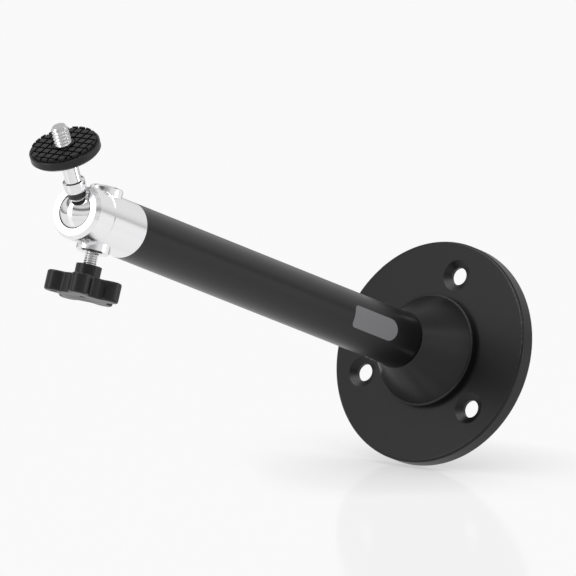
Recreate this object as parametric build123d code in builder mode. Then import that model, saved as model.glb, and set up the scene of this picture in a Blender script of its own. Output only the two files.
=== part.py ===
from build123d import *
import os
from math import cos, hypot, radians, sin, sqrt

# A camera wall bracket: a round wall plate with a tapered socket, a straight tube arm,
# and a clamped ball head that carries a round platform with a camera screw.
# Sizes are in millimetres and +Z is up. The origin is the middle of the plate's back.
# The arm leaves the wall along -Y, and the clamp knob hangs below the head along -Z.

# Wall plate, a casting with a hollow back and a thick hub in the middle
plate_radius = 42.0
plate_height = 6.0
plate_web = 3.0
plate_rim_wall = 3.0
plate_hub_radius = 23.0
plate_edge_round = 1.0
hole_circle_radius = 30.0
hole_radius = 3.3
hole_count = 3
hole_phase = 9.0
sink_radius = 5.9
sink_angle = 116.0

# Tapered socket that holds the tube, and the three screws that hold it from behind
flange_radius = 21.3
flange_height = 3.0
flange_round = 0.5
socket_foot_radius = 20.5
socket_mouth_wall = 0.5
socket_height = 20.4
socket_web = 3.0
screw_radius = 2.0
screw_head_radius = 3.8
screw_circle_radius = 14.5
screw_length = 12.0
screw_count = 3
screw_play = 0.2
screw_key_across = 2.5
screw_key_depth = 1.4

# Tube arm with the plugs in its two ends
tube_radius = 10.5
tube_wall = 1.5
tube_length = 190.5
plug_length = 18.0
fit_gap = 0.02

# Bolt through the plate and the socket into the tube's rear plug
bolt_radius = 3.0
bolt_play = 0.3
bolt_length = 18.0
bolt_head_across = 10.0
bolt_head_height = 4.0
bolt_recess_radius = 8.0
washer_radius = 6.5
washer_height = 1.2

# Head: the collar that closes it from behind, the stud, and the housing
stud_radius = 4.0
stud_length = 22.0
stud_in_collar = 7.5
collar_length = 8.5
spigot_length = 1.8
head_step = 0.1
head_length = 22.0
rim_bevel = 1.2
rim_bevel_length = 1.6
groove_from_rim = 10.6
groove_width = 0.6
groove_depth = 0.35
boss_radius = 6.2
boss_below = 12.4
boss_above = 12.2
boss_chamfer = 0.7
boss_from_ball = 11.0

# Ball with its stem, which stands in the slot of the head
ball_radius = 8.0
ball_gap = 0.3
ball_from_rim = 4.6
stem_tilt = 47.0
neck_radius = 3.4
stem_collar_start = 9.6
stem_collar_length = 4.0
stem_collar_radius = 4.05
stem_collar_chamfer = 0.5
stem_radius = 3.0
stem_length = 24.1
pivot_radius = 2.5
pivot_length = 2.0
slot_play = 0.45

# Brake piston behind the ball, pressed forward by the tip of the clamp screw
piston_ahead = 4.0
piston_play = 0.2
clamp_radius = 2.5
clamp_tip_radius = 1.2
clamp_tip_height = 1.3
clamp_tip_depth = 5.0
clamp_end_depth = 26.4
running_gap = 0.1
tip_play = 0.4

# Clamp knob with five lobes
knob_hub_radius = 4.75
knob_hub_depth = 17.0
knob_top_depth = 21.6
knob_height = 7.4
knob_core_radius = 9.6
knob_lobe_circle = 10.6
knob_lobe_radius = 3.7
knob_lobe_count = 5
knob_lobe_angle = 226.0
knob_valley_round = 2.0
knob_edge_round = 0.8
knob_dish_radius = 7.5
knob_dish_depth = 0.5
knob_hole_radius = 1.05
knob_lobe_hole_radius = 1.3
knob_hole_depth = 1.8

# Platform with its rubber pad and the camera screw
platform_radius = 13.0
platform_height = 3.6
platform_chamfer = 0.8
platform_rim = 0.8
platform_rim_height = 0.8
platform_rim_chamfer = 0.3
pad_base_height = 1.0
pad_land_height = 1.0
pad_land = 2.3
pad_pitch = 3.1
pad_rows = 9
pad_edge_gap = 0.15
pad_clear_radius = 4.6
camera_foot_radius = 4.0
camera_screw_radius = 3.175
camera_screw_height = 7.0
camera_screw_chamfer = 0.8

# Places along the arm, measured outwards from the wall
flange_face = plate_height + flange_height
tube_start = flange_face + socket_web
socket_mouth = plate_height + socket_height
tube_end = tube_start + tube_length
collar_end = tube_end + collar_length
rim_face = collar_end + head_length
ball_place = rim_face - ball_from_rim
boss_place = ball_place - boss_from_ball
groove_place = rim_face - groove_from_rim
spigot_end = collar_end + spigot_length

# Places along the stem, measured from the middle of the ball
platform_start = stem_length + running_gap
platform_top = platform_start + platform_height
pad_start = platform_top - platform_rim_height
pad_floor = pad_start + pad_base_height
pad_top = pad_floor + pad_land_height
camera_screw_top = pad_top + camera_screw_height

# Sizes that follow from their mates
tube_inner_radius = tube_radius - tube_wall
socket_mouth_radius = tube_radius + socket_mouth_wall
head_radius = tube_radius + head_step
head_bore_radius = ball_radius + ball_gap
slot_half = stem_collar_radius + slot_play
knob_bottom_depth = knob_top_depth + knob_height
clamp_hole_radius = clamp_radius + running_gap

# Planes and axes: an arm profile is drawn as radius and distance from the wall, a stem
# profile as radius and distance from the ball, a knob profile as radius and depth
arm_profile = Plane((0, 0, 0), x_dir=(-1, 0, 0), z_dir=(0, 0, 1))
wall_side = Plane((0, 0, 0), x_dir=(1, 0, 0), z_dir=(0, 1, 0))
ball_centre = Vector(0, -ball_place, 0)
boss_centre = Vector(0, -boss_place, 0)
tilt_cos = cos(radians(stem_tilt))
tilt_sin = sin(radians(stem_tilt))
stem_direction = Vector(0, -tilt_cos, tilt_sin)
stem_profile = Plane(ball_centre, x_dir=(1, 0, 0), z_dir=(0, -tilt_sin, -tilt_cos))
stem_axis = Axis(ball_centre, stem_direction)
knob_profile = Plane(boss_centre, x_dir=(1, 0, 0), z_dir=(0, 1, 0))
knob_axis = Axis(boss_centre, (0, 0, -1))


def across_arm(distance):
    """Plane across the arm, facing away from the wall."""
    return Plane((0, -distance, 0), x_dir=(1, 0, 0), z_dir=(0, -1, 0))


def across_stem(distance):
    """Plane across the stem, facing away from the ball."""
    return Plane(ball_centre + stem_direction * distance, x_dir=(1, 0, 0), z_dir=stem_direction)


def below_head(depth):
    """Plane across the clamp screw, facing down."""
    return Plane(boss_centre - Vector(0, 0, depth), x_dir=(1, 0, 0), z_dir=(0, 0, -1))


def sphere_reach(distance):
    """Radius of the ball's clearance sphere at a distance from the ball's middle."""
    return sqrt(head_bore_radius**2 - distance**2)


# Wall plate
with BuildPart() as wall_plate:
    recess_radius = plate_radius - plate_rim_wall
    with BuildSketch(arm_profile):
        with BuildLine():
            Polyline(
                (bolt_recess_radius, 0),
                (plate_hub_radius, 0),
                (plate_hub_radius, plate_height - plate_web),
                (recess_radius, plate_height - plate_web),
                (recess_radius, 0),
                (plate_radius, 0),
                (plate_radius, plate_height),
                (bolt_recess_radius, plate_height),
                close=True,
            )
        make_face()
    revolve(axis=Axis.Y)
    front_edge = wall_plate.edges().filter_by(GeomType.CIRCLE).sort_by(lambda edge: edge.radius)[-2:]
    fillet(front_edge.sort_by(Axis.Y)[0], plate_edge_round)
    with Locations(across_arm(plate_height)):
        with PolarLocations(hole_circle_radius, hole_count, start_angle=90 - hole_phase):
            CounterSinkHole(hole_radius, sink_radius, counter_sink_angle=sink_angle)
    with Locations(wall_side):
        with PolarLocations(screw_circle_radius, screw_count, start_angle=90):
            CounterSinkHole(
                screw_radius + screw_play, screw_head_radius, depth=plate_height, counter_sink_angle=90
            )

# Tapered socket
with BuildPart() as tube_socket:
    with BuildSketch(arm_profile):
        with BuildLine():
            Polyline(
                (bolt_recess_radius, plate_height),
                (flange_radius, plate_height),
                (flange_radius, flange_face),
                (socket_foot_radius, flange_face),
                (socket_mouth_radius, socket_mouth),
                (tube_radius + fit_gap, socket_mouth),
                (tube_radius + fit_gap, tube_start),
                (bolt_radius + bolt_play, tube_start),
                (bolt_radius + bolt_play, flange_face),
                (bolt_recess_radius, flange_face),
                close=True,
            )
        make_face()
    revolve(axis=Axis.Y)
    flange_edges = tube_socket.edges().filter_by(GeomType.CIRCLE).sort_by(lambda edge: edge.radius)[-2:]
    fillet(flange_edges.sort_by(Axis.Y)[0], flange_round)
    with BuildSketch(wall_side):
        with PolarLocations(screw_circle_radius, screw_count, start_angle=90):
            Circle(screw_radius + fit_gap)
    extrude(amount=-(screw_length + fit_gap), mode=Mode.SUBTRACT)

# Three countersunk screws from the back of the plate into the socket
with BuildPart() as socket_screws:
    head_cone = screw_head_radius - screw_radius
    top = (Align.CENTER, Align.CENTER, Align.MAX)
    with Locations(wall_side):
        with PolarLocations(screw_circle_radius, screw_count, start_angle=90):
            Cylinder(screw_radius, screw_length, align=top)
            Cone(screw_radius, screw_head_radius, head_cone, align=top)
    with BuildSketch(wall_side):
        with PolarLocations(screw_circle_radius, screw_count, start_angle=90):
            RegularPolygon(screw_key_across / 2, 6, major_radius=False)
    extrude(amount=-screw_key_depth, mode=Mode.SUBTRACT)

# Tube arm
with BuildPart() as arm_tube:
    with BuildSketch(across_arm(tube_start)):
        Circle(tube_radius)
        Circle(tube_inner_radius, mode=Mode.SUBTRACT)
    extrude(amount=tube_length)

# Threaded plug in the tube's rear end
with BuildPart() as rear_plug:
    with BuildSketch(across_arm(tube_start)):
        Circle(tube_inner_radius - fit_gap)
        Circle(bolt_radius + fit_gap, mode=Mode.SUBTRACT)
    extrude(amount=plug_length)

# Hexagon bolt and its washer
with BuildPart() as bolt_washer:
    with BuildSketch(across_arm(flange_face - washer_height)):
        Circle(washer_radius)
        Circle(bolt_radius + screw_play, mode=Mode.SUBTRACT)
    extrude(amount=washer_height)

with BuildPart() as centre_bolt:
    bolt_seat = flange_face - washer_height
    with BuildSketch(across_arm(bolt_seat)):
        RegularPolygon(bolt_head_across / 2, 6, major_radius=False)
    extrude(amount=-bolt_head_height)
    with BuildSketch(across_arm(bolt_seat)):
        Circle(bolt_radius)
    extrude(amount=bolt_length)

# Threaded plug in the tube's front end, and the stud that holds the head on it
with BuildPart() as front_plug:
    with BuildSketch(across_arm(tube_end - plug_length)):
        Circle(tube_inner_radius - fit_gap)
        Circle(stud_radius + fit_gap, mode=Mode.SUBTRACT)
    extrude(amount=plug_length)

with BuildPart() as head_stud:
    with BuildSketch(across_arm(tube_end + stud_in_collar - stud_length)):
        Circle(stud_radius)
    extrude(amount=stud_length)

# Collar that closes the head from behind
with BuildPart() as head_collar:
    with BuildSketch(across_arm(tube_end)):
        Circle(tube_radius)
    extrude(amount=collar_length)
    with BuildSketch(across_arm(collar_end)):
        Circle(head_bore_radius - fit_gap)
    extrude(amount=spigot_length)
    with BuildSketch(across_arm(tube_end)):
        Circle(stud_radius + fit_gap)
    extrude(amount=stud_in_collar + fit_gap, mode=Mode.SUBTRACT)

# Head housing: turned sleeve with a spherical lip, the cross boss and the stem's slot
with BuildPart() as head_housing:
    lip_radius = sphere_reach(ball_from_rim)
    lip_middle = ball_from_rim / 2
    with BuildSketch(arm_profile):
        with BuildLine():
            Polyline(
                (head_bore_radius, ball_place),
                (head_bore_radius, collar_end),
                (head_radius, collar_end),
                (head_radius, groove_place - groove_width / 2),
                (head_radius - groove_depth, groove_place),
                (head_radius, groove_place + groove_width / 2),
                (head_radius, rim_face - rim_bevel_length),
                (head_radius - rim_bevel, rim_face),
                (lip_radius, rim_face),
            )
            ThreePointArc(
                (lip_radius, rim_face),
                (sphere_reach(lip_middle), ball_place + lip_middle),
                (head_bore_radius, ball_place),
            )
        make_face()
    revolve(axis=Axis.Y)
    with BuildSketch(Plane.XY.offset(-boss_below)):
        with Locations((0, -boss_place)):
            Circle(boss_radius)
    boss_height = boss_below + boss_above
    extrude(amount=boss_height)
    boss_ends = head_housing.edges().filter_by(GeomType.CIRCLE).sort_by(Axis.Z)
    chamfer([boss_ends[0], boss_ends[-1]], boss_chamfer)
    with BuildSketch(across_arm(collar_end)):
        Circle(head_bore_radius)
    extrude(amount=ball_place - collar_end, mode=Mode.SUBTRACT)
    with BuildSketch(below_head(0)):
        Circle(clamp_hole_radius)
    extrude(amount=boss_below, mode=Mode.SUBTRACT)
    with BuildSketch(Plane.XY):
        with Locations((0, -ball_place)):
            Circle(slot_half)
            Rectangle(2 * slot_half, 2 * ball_from_rim, align=(Align.CENTER, Align.MAX))
    extrude(amount=2 * head_radius, mode=Mode.SUBTRACT)

# Brake piston with a cup for the ball and a hole for the clamp screw's tip
with BuildPart() as brake_piston:
    piston_radius = head_bore_radius - fit_gap
    cup_radius = sphere_reach(piston_ahead)
    cup_middle = head_bore_radius * sin(radians(30))
    with BuildSketch(arm_profile):
        with BuildLine():
            Polyline(
                (0, ball_place - head_bore_radius),
                (0, spigot_end + piston_play),
                (piston_radius, spigot_end + piston_play),
                (piston_radius, ball_place - piston_ahead),
                (cup_radius, ball_place - piston_ahead),
            )
            ThreePointArc(
                (cup_radius, ball_place - piston_ahead),
                (cup_middle, ball_place - sphere_reach(cup_middle)),
                (0, ball_place - head_bore_radius),
            )
        make_face()
    revolve(axis=Axis.Y)
    with BuildSketch(below_head(clamp_tip_depth - running_gap - piston_play)):
        Circle(clamp_radius + tip_play)
    extrude(amount=head_radius, mode=Mode.SUBTRACT)

# Clamp screw
with BuildPart() as clamp_screw:
    with BuildSketch(knob_profile):
        with BuildLine():
            Polyline(
                (0, clamp_tip_depth),
                (clamp_tip_radius, clamp_tip_depth),
                (clamp_radius, clamp_tip_depth + clamp_tip_height),
                (clamp_radius, clamp_end_depth),
                (0, clamp_end_depth),
                close=True,
            )
        make_face()
    revolve(axis=knob_axis)

# Clamp knob
with BuildPart() as clamp_knob:
    with BuildSketch(below_head(knob_top_depth)) as knob_outline:
        Circle(knob_core_radius)
        with PolarLocations(knob_lobe_circle, knob_lobe_count, start_angle=-knob_lobe_angle):
            Circle(knob_lobe_radius)
        valleys = knob_outline.vertices().filter_by(
            lambda corner: abs(hypot(corner.X, corner.Y) - knob_core_radius) < fit_gap
        )
        fillet(valleys, knob_valley_round)
    extrude(amount=knob_height)
    fillet(clamp_knob.edges().group_by(Axis.Z)[0], knob_edge_round)
    fillet(clamp_knob.edges().group_by(Axis.Z)[-1], knob_edge_round)
    with BuildSketch(below_head(knob_hub_depth)):
        Circle(knob_hub_radius)
    extrude(amount=knob_top_depth - knob_hub_depth)
    with BuildSketch(below_head(knob_hub_depth)):
        Circle(clamp_radius + fit_gap)
    extrude(amount=clamp_end_depth + fit_gap - knob_hub_depth, mode=Mode.SUBTRACT)
    with BuildSketch(knob_profile):
        with BuildLine():
            Polyline(
                (0, knob_bottom_depth - knob_dish_depth),
                (knob_dish_radius, knob_bottom_depth),
                (0, knob_bottom_depth),
                close=True,
            )
        make_face()
    revolve(axis=knob_axis, mode=Mode.SUBTRACT)
    with BuildSketch(below_head(knob_bottom_depth)):
        Circle(knob_hole_radius)
        with PolarLocations(knob_lobe_circle, 1, start_angle=-knob_lobe_angle):
            Circle(knob_lobe_hole_radius)
    extrude(amount=-knob_hole_depth, mode=Mode.SUBTRACT)

# Ball with its stem, turned in one piece
with BuildPart() as ball_stem:
    collar_finish = stem_collar_start + stem_collar_length
    neck_start = sqrt(ball_radius**2 - neck_radius**2)
    with BuildSketch(stem_profile):
        with BuildLine():
            Polyline(
                (neck_radius, neck_start),
                (neck_radius, stem_collar_start),
                (stem_collar_radius - stem_collar_chamfer, stem_collar_start),
                (stem_collar_radius, stem_collar_start + stem_collar_chamfer),
                (stem_collar_radius, collar_finish - stem_collar_chamfer),
                (stem_collar_radius - stem_collar_chamfer, collar_finish),
                (stem_radius, collar_finish),
                (stem_radius, stem_length),
                (pivot_radius, stem_length),
                (pivot_radius, stem_length + pivot_length),
                (0, stem_length + pivot_length),
                (0, -ball_radius),
            )
            ThreePointArc((0, -ball_radius), (ball_radius, 0), (neck_radius, neck_start))
        make_face()
    revolve(axis=stem_axis)

# Platform disc with a raised rim
with BuildPart() as platform_disc:
    with BuildSketch(stem_profile):
        with BuildLine():
            Polyline(
                (camera_foot_radius + fit_gap, platform_start),
                (platform_radius - platform_chamfer, platform_start),
                (platform_radius, platform_start + platform_chamfer),
                (platform_radius, platform_top - platform_rim_chamfer),
                (platform_radius - platform_rim_chamfer, platform_top),
                (platform_radius - platform_rim, platform_top),
                (platform_radius - platform_rim, pad_start),
                (camera_foot_radius + fit_gap, pad_start),
                close=True,
            )
        make_face()
    revolve(axis=stem_axis)

# Rubber pad with square lands, left clear round the screw
with BuildPart() as platform_pad:
    pad_radius = platform_radius - platform_rim - pad_edge_gap
    with BuildSketch(across_stem(pad_start)):
        Circle(pad_radius)
        Circle(camera_foot_radius + pad_edge_gap, mode=Mode.SUBTRACT)
    extrude(amount=pad_base_height)
    with BuildSketch(across_stem(pad_floor)):
        with GridLocations(pad_pitch, pad_pitch, pad_rows, pad_rows):
            Rectangle(pad_land, pad_land)
        Circle(pad_radius, mode=Mode.INTERSECT)
        Circle(pad_clear_radius, mode=Mode.SUBTRACT)
    extrude(amount=pad_land_height)

# Camera screw, with a thick foot that is drilled for the stem's pivot
with BuildPart() as camera_screw:
    pivot_hole_top = stem_length + pivot_length + running_gap
    with BuildSketch(stem_profile):
        with BuildLine():
            Polyline(
                (pivot_radius + running_gap, platform_start),
                (camera_foot_radius, platform_start),
                (camera_foot_radius, pad_top),
                (camera_screw_radius, pad_top),
                (camera_screw_radius, camera_screw_top - camera_screw_chamfer),
                (camera_screw_radius - camera_screw_chamfer, camera_screw_top),
                (0, camera_screw_top),
                (0, pivot_hole_top),
                (pivot_radius + running_gap, pivot_hole_top),
                close=True,
            )
        make_face()
    revolve(axis=stem_axis)

pieces = {
    "wall_plate": wall_plate,
    "tube_socket": tube_socket,
    "socket_screws": socket_screws,
    "arm_tube": arm_tube,
    "rear_plug": rear_plug,
    "bolt_washer": bolt_washer,
    "centre_bolt": centre_bolt,
    "front_plug": front_plug,
    "head_stud": head_stud,
    "head_collar": head_collar,
    "head_housing": head_housing,
    "brake_piston": brake_piston,
    "clamp_screw": clamp_screw,
    "clamp_knob": clamp_knob,
    "ball_stem": ball_stem,
    "platform_disc": platform_disc,
    "platform_pad": platform_pad,
    "camera_screw": camera_screw,
}

os.makedirs("parts", exist_ok=True)
for label, piece in pieces.items():
    piece.part.label = label
    export_step(piece.part, f"parts/{label}.step")
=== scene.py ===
# %% [markdown]
# A camera wall bracket, dressed on top of its engineering model. The frame holds the real sizes,
# so every new piece takes its place from it. All lengths here are metres, and mm turns a
# millimetre into one.

from math import asin, atan2, ceil, cos, pi, radians, sin, sqrt

import bpy
from mathutils import Matrix, Vector


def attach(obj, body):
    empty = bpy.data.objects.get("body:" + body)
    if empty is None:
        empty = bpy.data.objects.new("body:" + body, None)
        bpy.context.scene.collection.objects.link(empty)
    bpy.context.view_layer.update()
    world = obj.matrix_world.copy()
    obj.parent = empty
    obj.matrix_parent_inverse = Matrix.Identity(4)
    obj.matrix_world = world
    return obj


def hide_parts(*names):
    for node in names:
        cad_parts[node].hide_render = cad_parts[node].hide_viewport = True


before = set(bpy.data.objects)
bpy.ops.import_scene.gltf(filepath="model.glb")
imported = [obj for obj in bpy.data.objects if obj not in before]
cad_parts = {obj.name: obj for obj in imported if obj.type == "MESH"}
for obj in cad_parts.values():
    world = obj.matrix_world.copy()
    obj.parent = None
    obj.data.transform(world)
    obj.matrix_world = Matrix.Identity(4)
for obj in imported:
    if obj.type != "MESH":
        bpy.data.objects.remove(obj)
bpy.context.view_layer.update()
mm = 0.001
bpy.context.scene.view_settings.view_transform = "Standard"

# %% [markdown]
# The camera stands far away, because the photograph shows the arm almost without taper. The
# picture is rolled so that the arm, level on the real wall, climbs to the upper left. The view is
# built from the arm's own direction: where it points in the picture, and how far it comes forward.

# %% Camera
picture_size = 576
pixel = 0.365 * mm
camera_distance = 6.0
sensor_width = 36.0
arm_out = Vector((0, -1, 0))
arm_middle = arm_out * 115 * mm
arm_middle_pixel = (261.5, 284.6)
arm_picture_direction = (-0.9285, 0.3714)
view_back = Vector((0.5994, -0.7914, -0.12)).normalized()

flat_arm = (arm_out - view_back * arm_out.dot(view_back)).normalized()
flat_side = view_back.cross(flat_arm)
run, rise = arm_picture_direction
image_right = flat_arm * run - flat_side * rise
image_up = flat_arm * rise + flat_side * run
middle = picture_size / 2
target = arm_middle + image_right * (middle - arm_middle_pixel[0]) * pixel
target += image_up * (arm_middle_pixel[1] - middle) * pixel

camera_data = bpy.data.cameras.new("photo_camera")
camera_data.sensor_width = sensor_width
camera_data.lens = sensor_width * camera_distance / (picture_size * pixel)
camera_data.clip_end = 50
camera = bpy.data.objects.new("photo_camera", camera_data)
bpy.context.collection.objects.link(camera)
turn = Matrix((image_right, image_up, view_back)).transposed().to_4x4()
camera.matrix_world = Matrix.Translation(target + view_back * camera_distance) @ turn
bpy.context.scene.camera = camera
print("lens", round(camera_data.lens, 1))

# %% [markdown]
# A product picture on white is lit by large soft panels. Two area lamps give the long soft
# highlights on the black tube. The world is white for the camera, and for reflections it runs from
# white to grey bands, because bright metal shows only what stands round it.

# %% Lamps
def soft_panel(name, direction, distance, size, power):
    """Area lamp that faces the middle of the arm."""
    lamp_data = bpy.data.lights.new(name, "AREA")
    lamp_data.shape = "RECTANGLE"
    lamp_data.size, lamp_data.size_y = size
    lamp_data.energy = power
    lamp = bpy.data.objects.new(name, lamp_data)
    bpy.context.collection.objects.link(lamp)
    away = direction.normalized()
    lamp.matrix_world = Matrix.Translation(arm_middle + away * distance) @ away.to_track_quat("Z", "Y").to_matrix().to_4x4()
    return lamp


soft_panel("top_panel", image_up + 0.35 * view_back - 0.25 * image_right, 0.9, (1.0, 0.5), 6.0)
soft_panel("left_panel", 0.5 * view_back - image_right + 0.25 * image_up, 0.9, (0.35, 0.9), 2.2)
soft_panel("right_panel", 0.25 * view_back + image_right + 0.2 * image_up, 1.0, (0.3, 0.9), 2.2)

# %% World
world = bpy.data.worlds.new("white_studio")
bpy.context.scene.world = world
world.use_nodes = True
sky = world.node_tree
sky.nodes.clear()


def world_node(kind, **values):
    node = sky.nodes.new(kind)
    for key, value in values.items():
        setattr(node, key, value)
    return node


direction_in = world_node("ShaderNodeTexCoord")
along_up = world_node("ShaderNodeVectorMath", operation="DOT_PRODUCT")
along_up.inputs[1].default_value = (image_up + 0.25 * view_back).normalized()
sky.links.new(direction_in.outputs["Generated"], along_up.inputs[0])
to_unit = world_node("ShaderNodeMapRange")
to_unit.inputs["From Min"].default_value = -1
sky.links.new(along_up.outputs["Value"], to_unit.inputs["Value"])
bands = world_node("ShaderNodeValToRGB")
sky.links.new(to_unit.outputs["Result"], bands.inputs["Fac"])
band_levels = [(0.0, 0.30), (0.22, 0.62), (0.34, 0.08), (0.44, 0.12), (0.54, 0.80), (0.66, 0.92), (0.74, 0.10), (0.84, 0.85), (1.0, 0.35)]
ramp = bands.color_ramp
while len(ramp.elements) < len(band_levels):
    ramp.elements.new(0.5)
for element, (place, level) in zip(ramp.elements, band_levels):
    element.position = place
    element.color = (level, level, level, 1)
light_path = world_node("ShaderNodeLightPath")
reflected = world_node("ShaderNodeBackground")
sky.links.new(bands.outputs["Color"], reflected.inputs["Color"])
ambient = world_node("ShaderNodeBackground")
ambient.inputs["Color"].default_value = (0.5, 0.5, 0.51, 1)
white = world_node("ShaderNodeBackground")
white.inputs["Color"].default_value = (0.985, 0.985, 0.985, 1)
glossy_mix = world_node("ShaderNodeMixShader")
camera_mix = world_node("ShaderNodeMixShader")
world_out = world_node("ShaderNodeOutputWorld")
sky.links.new(light_path.outputs["Is Glossy Ray"], glossy_mix.inputs[0])
sky.links.new(ambient.outputs[0], glossy_mix.inputs[1])
sky.links.new(reflected.outputs[0], glossy_mix.inputs[2])
sky.links.new(light_path.outputs["Is Camera Ray"], camera_mix.inputs[0])
sky.links.new(glossy_mix.outputs[0], camera_mix.inputs[1])
sky.links.new(white.outputs[0], camera_mix.inputs[2])
sky.links.new(camera_mix.outputs[0], world_out.inputs[0])

# %% [markdown]
# Two surface effects come back on many pieces. Fine grain is the faint orange peel of paint and
# the texture of moulded plastic. Turning lines are the fine rings that a lathe leaves, and they
# vary only along the piece's axis. Each is one node group, placed in a material with its own values.

# %% Shared surface effects
def new_group(name, inputs, outputs):
    """Empty shader node group with named number sockets."""
    group = bpy.data.node_groups.new(name, "ShaderNodeTree")
    group.interface.new_socket("Vector", in_out="INPUT", socket_type="NodeSocketVector")
    for label, value in inputs:
        socket = group.interface.new_socket(label, in_out="INPUT", socket_type="NodeSocketFloat")
        socket.default_value = value
    for label in outputs:
        group.interface.new_socket(label, in_out="OUTPUT", socket_type="NodeSocketFloat")
    start = group.nodes.new("NodeGroupInput")
    end = group.nodes.new("NodeGroupOutput")
    return group, start, end


def spread_round(group, value_socket, low_socket, high_socket, end_socket):
    """Maps a 0 to 1 pattern onto the range between two group inputs."""
    spread = group.nodes.new("ShaderNodeMapRange")
    group.links.new(value_socket, spread.inputs["Value"])
    group.links.new(low_socket, spread.inputs["To Min"])
    group.links.new(high_socket, spread.inputs["To Max"])
    group.links.new(spread.outputs["Result"], end_socket)


def fine_grain_group():
    inputs = [("Scale", 1500.0), ("Low Roughness", 0.3), ("High Roughness", 0.4)]
    group, start, end = new_group("fine_grain", inputs, ["Roughness", "Height"])
    speckle = group.nodes.new("ShaderNodeTexNoise")
    speckle.inputs["Detail"].default_value = 3
    clouds = group.nodes.new("ShaderNodeTexNoise")
    clouds.inputs["Scale"].default_value = 45
    for texture in (speckle, clouds):
        group.links.new(start.outputs["Vector"], texture.inputs["Vector"])
    group.links.new(start.outputs["Scale"], speckle.inputs["Scale"])
    group.links.new(speckle.outputs["Fac"], end.inputs["Height"])
    spread_round(group, clouds.outputs["Fac"], start.outputs["Low Roughness"], start.outputs["High Roughness"], end.inputs["Roughness"])
    return group


def turning_lines_group():
    inputs = [("Scale", 4000.0), ("Low Roughness", 0.15), ("High Roughness", 0.3)]
    group, start, end = new_group("turning_lines", inputs, ["Roughness", "Height"])
    split = group.nodes.new("ShaderNodeSeparateXYZ")
    lines = group.nodes.new("ShaderNodeTexNoise")
    lines.noise_dimensions = "1D"
    lines.inputs["Detail"].default_value = 4
    group.links.new(start.outputs["Vector"], split.inputs[0])
    group.links.new(split.outputs["Y"], lines.inputs["W"])
    group.links.new(start.outputs["Scale"], lines.inputs["Scale"])
    group.links.new(lines.outputs["Fac"], end.inputs["Height"])
    spread_round(group, lines.outputs["Fac"], start.outputs["Low Roughness"], start.outputs["High Roughness"], end.inputs["Roughness"])
    return group


effects = {"fine_grain": fine_grain_group(), "turning_lines": turning_lines_group()}

# %% Materials
def finish_material(name, colour, metallic, effect, scale, rough, bump, turned=(0, 0, 0), specular=0.5):
    """Surface with one shared effect that drives its roughness and its bump."""
    material = bpy.data.materials.new(name)
    material.use_nodes = True
    tree = material.node_tree
    shader = tree.nodes["Principled BSDF"]
    shader.inputs["Base Color"].default_value = (*colour, 1)
    shader.inputs["Metallic"].default_value = metallic
    shader.inputs["Specular IOR Level"].default_value = specular
    place = tree.nodes.new("ShaderNodeTexCoord")
    mapping = tree.nodes.new("ShaderNodeMapping")
    mapping.inputs["Rotation"].default_value = turned
    group = tree.nodes.new("ShaderNodeGroup")
    group.node_tree = effects[effect]
    group.inputs["Scale"].default_value = scale
    group.inputs["Low Roughness"].default_value = rough[0]
    group.inputs["High Roughness"].default_value = rough[1]
    bump_node = tree.nodes.new("ShaderNodeBump")
    bump_node.inputs["Distance"].default_value = bump
    tree.links.new(place.outputs["Object"], mapping.inputs["Vector"])
    tree.links.new(mapping.outputs["Vector"], group.inputs["Vector"])
    tree.links.new(group.outputs["Roughness"], shader.inputs["Roughness"])
    tree.links.new(group.outputs["Height"], bump_node.inputs["Height"])
    tree.links.new(bump_node.outputs["Normal"], shader.inputs["Normal"])
    return material


stem_tilt = radians(47)
along_stem = (stem_tilt, 0, 0)
along_knob = (radians(90), 0, 0)
powder = finish_material("satin_black_powder", (0.0045, 0.0045, 0.005), 0, "fine_grain", 1400, (0.30, 0.38), 0.004 * mm, specular=0.30)
tube_paint = finish_material("satin_black_tube", (0.0035, 0.0035, 0.004), 0, "fine_grain", 900, (0.26, 0.32), 0.002 * mm, specular=0.30)
turned_aluminium = finish_material("turned_aluminium", (0.86, 0.86, 0.87), 1, "turning_lines", 3500, (0.16, 0.30), 0.002 * mm)
chrome = finish_material("polished_chrome", (0.80, 0.80, 0.81), 1, "turning_lines", 2500, (0.06, 0.12), 0.0004 * mm, along_stem)
bright_steel = finish_material("bright_zinc_steel", (0.72, 0.72, 0.72), 1, "turning_lines", 3000, (0.18, 0.32), 0.002 * mm, along_stem)
clamp_steel = finish_material("clamp_zinc_steel", (0.72, 0.72, 0.72), 1, "turning_lines", 3000, (0.18, 0.32), 0.002 * mm, along_knob)
knob_plastic = finish_material("moulded_knob_plastic", (0.006, 0.006, 0.0065), 0, "fine_grain", 2200, (0.30, 0.40), 0.006 * mm, specular=0.35)
pad_rubber = finish_material("ribbed_pad_rubber", (0.006, 0.006, 0.0065), 0, "fine_grain", 2600, (0.40, 0.60), 0.01 * mm, specular=0.3)
disc_black = finish_material("anodised_black_disc", (0.005, 0.005, 0.0055), 0, "turning_lines", 3000, (0.28, 0.40), 0.002 * mm, along_stem, specular=0.35)
# The ball stem's neck is coloured near black all round.
dark_neck = finish_material("near_black_neck", (0.01, 0.01, 0.011), 0, "turning_lines", 2500, (0.2, 0.35), 0.001 * mm, along_stem)
label_grey = finish_material("brushed_grey_plate", (0.16, 0.16, 0.165), 0, "fine_grain", 1800, (0.42, 0.55), 0.003 * mm)

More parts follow.
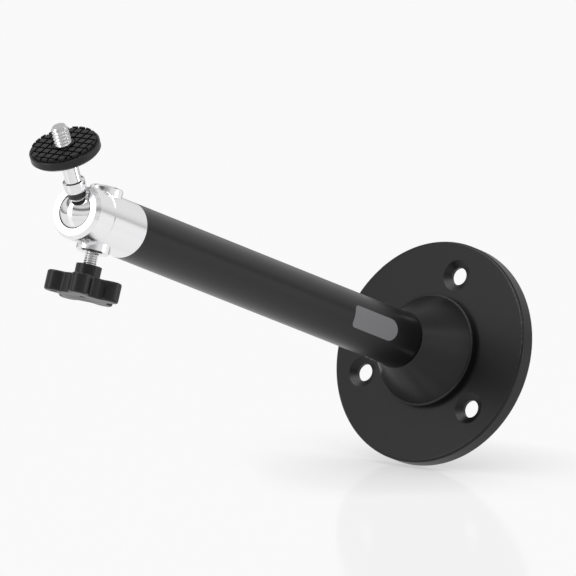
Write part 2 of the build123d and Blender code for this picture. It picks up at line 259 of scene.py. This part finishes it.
node_materials = {
    "wall_plate": powder,
    "tube_socket": powder,
    "arm_tube": tube_paint,
    "socket_screws": bright_steel,
    "centre_bolt": bright_steel,
    "bolt_washer": bright_steel,
    "rear_plug": turned_aluminium,
    "front_plug": turned_aluminium,
    "head_stud": bright_steel,
    "head_collar": turned_aluminium,
    "head_housing": turned_aluminium,
    "brake_piston": knob_plastic,
    "clamp_screw": clamp_steel,
    "clamp_knob": knob_plastic,
    "ball_stem": chrome,
    "platform_disc": disc_black,
    "platform_pad": pad_rubber,
    "camera_screw": bright_steel,
}
for node, material in node_materials.items():
    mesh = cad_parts[node].data
    mesh.materials.clear()
    mesh.materials.append(material)

# %% [markdown]
# A turned piece is a profile spun round its axis, as on a lathe. The profile is a list of radius
# and distance pairs. Spun in many steps it is smoother than the engineering mesh, which matters on
# bright metal, where every facet shows in the reflections. A profile that starts and ends on the
# axis closes itself, and a ring's profile is closed by its last edge.

# %% Helpers for new pieces
def only(piece):
    """Selects one object and makes it the active one."""
    bpy.ops.object.select_all(action="DESELECT")
    piece.select_set(True)
    bpy.context.view_layer.objects.active = piece


def close_mesh(piece, sharp_angle=30):
    """Merges doubles, turns the faces outwards and smooths between flat sides."""
    only(piece)
    bpy.ops.object.mode_set(mode="EDIT")
    bpy.ops.mesh.select_all(action="SELECT")
    bpy.ops.mesh.remove_doubles(threshold=0.0005 * mm)
    bpy.ops.mesh.normals_make_consistent(inside=False)
    bpy.ops.object.mode_set(mode="OBJECT")
    bpy.ops.object.shade_smooth_by_angle(angle=radians(sharp_angle))


def turned_piece(name, profile, start, direction, ring=False, steps=128):
    """Spins (radius, distance) pairs, in millimetres, round a line through start."""
    side = Vector((1, 0, 0))
    points = [start + (side * radius + direction * distance) * mm for radius, distance in profile]
    edges = [(i, i + 1) for i in range(len(points) - 1)]
    if ring:
        edges.append((len(points) - 1, 0))
    mesh = bpy.data.meshes.new(name)
    mesh.from_pydata(points, edges, [])
    piece = bpy.data.objects.new(name, mesh)
    bpy.context.collection.objects.link(piece)
    only(piece)
    bpy.ops.object.mode_set(mode="EDIT")
    bpy.ops.mesh.select_all(action="SELECT")
    bpy.ops.mesh.spin(steps=steps, angle=2 * pi, center=start, axis=direction)
    bpy.ops.object.mode_set(mode="OBJECT")
    close_mesh(piece)
    print(name, len(piece.data.polygons), "faces")
    return piece


def rounded(profile, round_size):
    """Swaps each outer corner of a profile for a small chamfer of three points."""
    result = [profile[0]]
    for before, corner, after in zip(profile, profile[1:], profile[2:]):
        before_point, point, after_point = Vector(before), Vector(corner), Vector(after)
        into = (before_point - point).normalized() * round_size
        out = (after_point - point).normalized() * round_size
        result += [tuple(point + into), tuple(point + (into + out) * 0.29), tuple(point + out)]
    result.append(profile[-1])
    return result


def dress(piece, material, body, slot_name, *nodes):
    """Gives a piece its finish and its body, and hides the nodes that it stands for. The slot name is not used."""
    piece.data.materials.append(material)
    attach(piece, body)
    if nodes:
        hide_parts(*nodes)


# %% [markdown]
# The ball and its stem are one turned piece of steel: a polished ball, a short neck coloured near black, a
# collar, and a shank that carries the platform. The colour changes along the stem, so the faces of
# the neck get a second, near-black material by their distance from the ball.

# %% Ball and stem
ball_centre = Vector((0, -228.4, 0)) * mm
stem_direction = Vector((0, -cos(stem_tilt), sin(stem_tilt)))
ball_radius = 8.0
neck_radius = 3.4
collar_span = (9.6, 13.6)
collar_radius = 4.05
shank_radius = 3.0
stem_length = 24.1
pivot_radius = 2.5
pivot_end = 26.1
arc_steps = 40
neck_turn = asin(neck_radius / ball_radius)
ball_profile = []
last_angle = pi / 2 - neck_turn
for step in range(arc_steps + 1):
    angle = -pi / 2 + (last_angle + pi / 2) * step / arc_steps
    ball_profile.append((ball_radius * cos(angle), ball_radius * sin(angle)))
ball_profile[0] = (0, -ball_radius)
stem_profile = [
    (neck_radius, ball_profile[-1][1] + 0.2),
    (neck_radius, collar_span[0]),
    (collar_radius, collar_span[0]),
    (collar_radius, collar_span[1]),
    (shank_radius, collar_span[1]),
    (shank_radius, stem_length),
    (pivot_radius, stem_length),
    (pivot_radius, pivot_end),
    (0, pivot_end),
]
ball_and_stem = turned_piece("turned_ball_stem", ball_profile + rounded(stem_profile, 0.25), ball_centre, stem_direction)
dress(ball_and_stem, chrome, "ball", "chrome_ball", "ball_stem")
ball_and_stem.data.materials.append(dark_neck)
for face in ball_and_stem.data.polygons:
    distance = (face.center - ball_centre).dot(stem_direction) / mm
    face.material_index = int(ball_profile[-1][1] < distance < collar_span[0] - 0.1)

# %% [markdown]
# A real thread is cut into a plain rod, and so is this one. The rod is turned with many fine rings
# along its wall, and each point of the wall moves inwards by how far it lies from the helix of the
# crest. The rod stays one closed skin, with no loose thread ends to cap.

# %% Threads
thread_rows_per_turn = 10
thread_depth_share = 0.5


def threaded_rod(name, foot, start, direction, radius, pitch, low, high, tip_chamfer):
    """Rod on a foot profile, with a helical thread from low to high, in millimetres."""
    wall_end = high - tip_chamfer
    rows = ceil((wall_end - low) / pitch * thread_rows_per_turn)
    wall = [(radius, low + (wall_end - low) * row / rows) for row in range(rows + 1)]
    profile = foot + wall + [(radius - tip_chamfer, high), (0, high)]
    rod = turned_piece(name, profile, start, direction, steps=72)
    across = Vector((1, 0, 0))
    over = direction.cross(across)
    for vertex in rod.data.vertices:
        offset = (vertex.co - start) / mm
        along = offset.dot(direction)
        radial = offset - direction * along
        on_wall = abs(radial.length - radius) < 0.001
        if on_wall and low - 0.001 < along < wall_end + 0.001:
            turn = atan2(radial.dot(over), radial.dot(across)) / (2 * pi)
            from_valley = abs(2 * ((along / pitch - turn) % 1) - 1)
            cut = thread_depth_share * pitch * (1 - from_valley)
            vertex.co -= radial.normalized() * cut * mm
    only(rod)
    bpy.ops.object.shade_smooth_by_angle(angle=radians(25))
    return rod


foot_top = 29.0
screw_foot = [(0, 26.3), (2.6, 26.3), (2.6, 24.2), (4.0, 24.2), (4.0, foot_top)]
camera_screw = threaded_rod("threaded_camera_screw", screw_foot, ball_centre, stem_direction, 3.175, 1.27, foot_top, 36.0, 0.8)
dress(camera_screw, bright_steel, "platform", "zinc_steel", "camera_screw")
camera_screw.data.materials.append(disc_black)
for face in camera_screw.data.polygons:
    distance = (face.center - ball_centre).dot(stem_direction) / mm
    face.material_index = int(distance < foot_top + 0.01)

boss_centre = Vector((0, -217.4, 0)) * mm
down = Vector((0, 0, -1))
rod_start = [(0, 5.0)]
clamp_rod = threaded_rod("threaded_clamp_rod", rod_start, boss_centre, down, 2.5, 0.8, 5.0, 26.4, 0.3)
dress(clamp_rod, clamp_steel, "clamp", "zinc_steel", "clamp_screw")

# %% [markdown]
# The arm is a painted tube. Its ends are hidden in the socket and against the collar, so only its
# outside and its two end rings matter.

# %% Tube
origin = Vector((0, 0, 0))
tube_radius = 10.5
tube_bore = 9.0
tube_span = (12.0, 202.5)
tube_profile = [
    (tube_bore, tube_span[0]),
    (tube_radius, tube_span[0]),
    (tube_radius, tube_span[1] - 0.25),
    (tube_radius - 0.25, tube_span[1]),
    (tube_bore, tube_span[1]),
]
painted_tube = turned_piece("painted_arm_tube", tube_profile, origin, arm_out, ring=True, steps=192)
dress(painted_tube, tube_paint, "bracket", "black_powder", "arm_tube")

# %% [markdown]
# The tube carries a bare grey plate with one full-round end, towards the wall, and small corners at
# the other. It is a grid bent round the tube: its corners are pulled in to that outline, and a
# Solidify modifier gives it the thickness of a label. Its angles run from +X towards +Z.

# %% Grey plate on the tube
plate_middle = 55.5
plate_half_length = 13.8
plate_arc = (-22.0, 24.0)
plate_lift = 0.03
plate_thickness = 0.2
small_corner = 2.0
plate_half_height = radians(plate_arc[1] - plate_arc[0]) / 2 * tube_radius
plate_middle_angle = radians(plate_arc[1] + plate_arc[0]) / 2
bpy.ops.object.select_all(action="DESELECT")
bpy.ops.mesh.primitive_grid_add(x_subdivisions=80, y_subdivisions=40, size=2)
grey_plate = bpy.context.object
grey_plate.name = "bare_grey_plate"
for vertex in grey_plate.data.vertices:
    along, across = vertex.co.x * plate_half_length, vertex.co.y * plate_half_height
    corner = plate_half_height if along < 0 else small_corner
    beyond = abs(across) - (plate_half_height - corner)
    if beyond > 0:
        reach = plate_half_length - corner + sqrt(max(corner**2 - beyond**2, 0))
        along = along * reach / plate_half_length
    angle = plate_middle_angle + across / tube_radius
    radial = Vector((cos(angle), 0, sin(angle)))
    vertex.co = (arm_out * (plate_middle + along) + radial * (tube_radius + plate_lift)) * mm
solid = grey_plate.modifiers.new("thickness", "SOLIDIFY")
solid.thickness = plate_thickness * mm
solid.offset = 1
only(grey_plate)
bpy.ops.object.modifier_apply(modifier="thickness")
close_mesh(grey_plate, 40)
dress(grey_plate, label_grey, "bracket", "turned_aluminium")

# %% [markdown]
# The floor follows the photograph's camera, not the wall, because the bracket was photographed
# standing on the edge of its plate. It touches the plate's lowest point in the picture. Its
# colour is white light, darkened only where the plate shades it closely.

# %% Floor
floor_pitch = radians(10)
floor_up = image_up * cos(floor_pitch) + view_back * sin(floor_pitch)
lowest = min(floor_up.dot(vertex.co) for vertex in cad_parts["wall_plate"].data.vertices)
bpy.ops.object.select_all(action="DESELECT")
bpy.ops.mesh.primitive_plane_add(size=3.0)
floor = bpy.context.object
floor.name = "studio_floor"
floor.matrix_world = Matrix.Translation(floor_up * lowest) @ floor_up.to_track_quat("Z", "Y").to_matrix().to_4x4()
floor_white = bpy.data.materials.new("studio_white")
floor_white.use_nodes = True
tree = floor_white.node_tree
tree.nodes.clear()
near_shade = tree.nodes.new("ShaderNodeAmbientOcclusion")
near_shade.samples = 16
near_shade.inputs["Distance"].default_value = 60 * mm
shade_ramp = tree.nodes.new("ShaderNodeMapRange")
shade_ramp.inputs["From Min"].default_value = 0.35
shade_ramp.inputs["To Min"].default_value = 0.62
shade_ramp.inputs["To Max"].default_value = 0.985
glow = tree.nodes.new("ShaderNodeEmission")
tree.links.new(near_shade.outputs["AO"], shade_ramp.inputs["Value"])
tree.links.new(shade_ramp.outputs["Result"], glow.inputs["Strength"])
gloss = tree.nodes.new("ShaderNodeBsdfGlossy")
gloss.inputs["Roughness"].default_value = 0.12
gloss_mix = tree.nodes.new("ShaderNodeMixShader")
gloss_mix.inputs[0].default_value = 0.10
tree.links.new(glow.outputs[0], gloss_mix.inputs[1])
tree.links.new(gloss.outputs[0], gloss_mix.inputs[2])
clear = tree.nodes.new("ShaderNodeBsdfTransparent")
side = tree.nodes.new("ShaderNodeNewGeometry")
side_mix = tree.nodes.new("ShaderNodeMixShader")
tree.links.new(side.outputs["Backfacing"], side_mix.inputs[0])
tree.links.new(gloss_mix.outputs[0], side_mix.inputs[1])
tree.links.new(clear.outputs[0], side_mix.inputs[2])
floor_out = tree.nodes.new("ShaderNodeOutputMaterial")
tree.links.new(side_mix.outputs[0], floor_out.inputs["Surface"])
floor.data.materials.append(floor_white)
